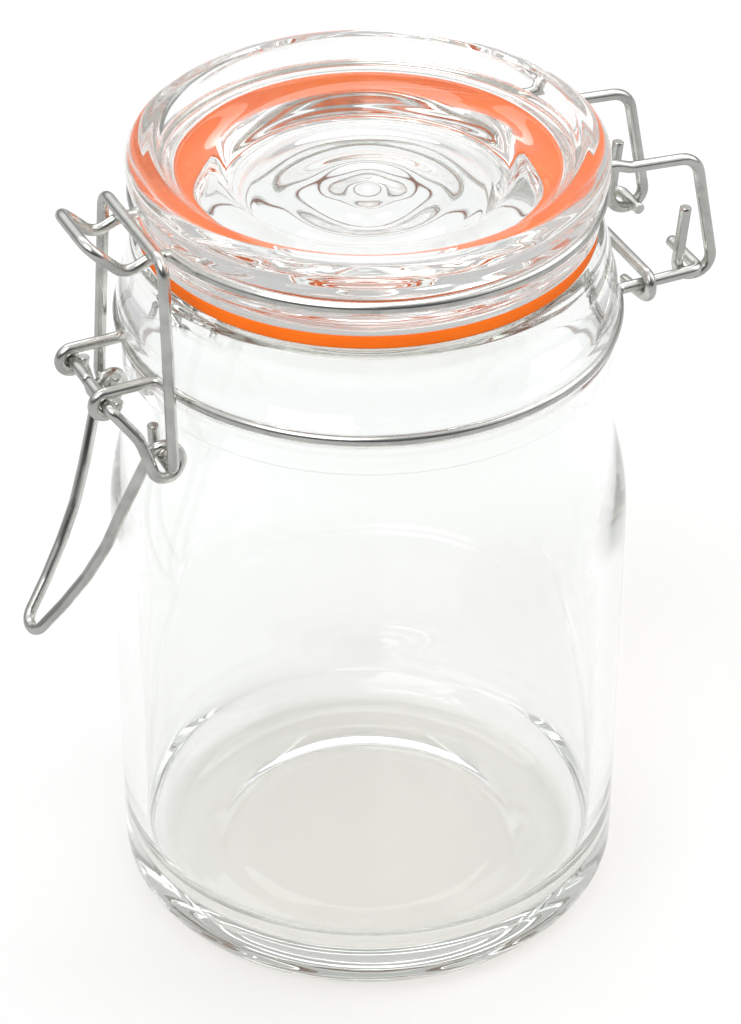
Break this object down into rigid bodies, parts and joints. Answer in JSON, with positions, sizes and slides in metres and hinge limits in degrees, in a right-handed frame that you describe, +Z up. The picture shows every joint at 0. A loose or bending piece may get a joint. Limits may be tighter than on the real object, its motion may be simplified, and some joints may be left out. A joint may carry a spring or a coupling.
{
  "type": "clip-top glass jar",
  "caption": "Small round glass jar with a dished glass lid on a rubber ring, wire hinge hooks and an over-centre wire latch with a thumb loop.",
  "frame": {"origin": "on the jar's axis, in the plane the jar stands on", "axes": "+Z up along the jar's axis; +X towards the hinge, so the latch is at -X; all pivots run along Y"},
  "size_m": [0.077, 0.0556, 0.0917],
  "materials": {
    "jar_glass": "clear, smooth, fire polished",
    "lid_glass": "clear, smooth, pressed",
    "seal_rubber": "satin, moulded",
    "lid_steel": "bright zinc-plated wire",
    "neck_steel": "bright zinc-plated wire",
    "lever_steel": "bright zinc-plated wire"
  },
  "bodies": {
    "jar": {"glass_jar": "jar_glass", "neck_wire_right": "neck_steel", "neck_wire_left": "neck_steel", "hinge_tie_wire": "neck_steel"},
    "lid": {"glass_lid": "lid_glass", "seal_ring": "seal_rubber", "lid_wire": "lid_steel"},
    "lever": {"lever_wire": "lever_steel"},
    "bail": {"bail_wire": "lever_steel"}
  },
  "joints": [
    {"name": "lid_hinge", "type": "hinge", "parent": "jar", "child": "lid", "pos_m": [0.0345, 0, 0.0723], "axis": [0, 1, 0], "range_deg": [0, 180]},
    {"name": "lever_pivot", "type": "hinge", "parent": "jar", "child": "lever", "pos_m": [-0.0315, 0, 0.07099], "axis": [0, 1, 0], "range_deg": [0, 104]},
    {"name": "bail_swing", "type": "hinge", "parent": "lever", "child": "bail", "pos_m": [-0.0265, 0, 0.0646], "axis": [0, 1, 0], "range_deg": [-135.3, 0]}
  ],
  "couplings": [
    {"joint": "bail_swing", "follows": "lever_pivot", "ratio": -1.3}
  ]
}
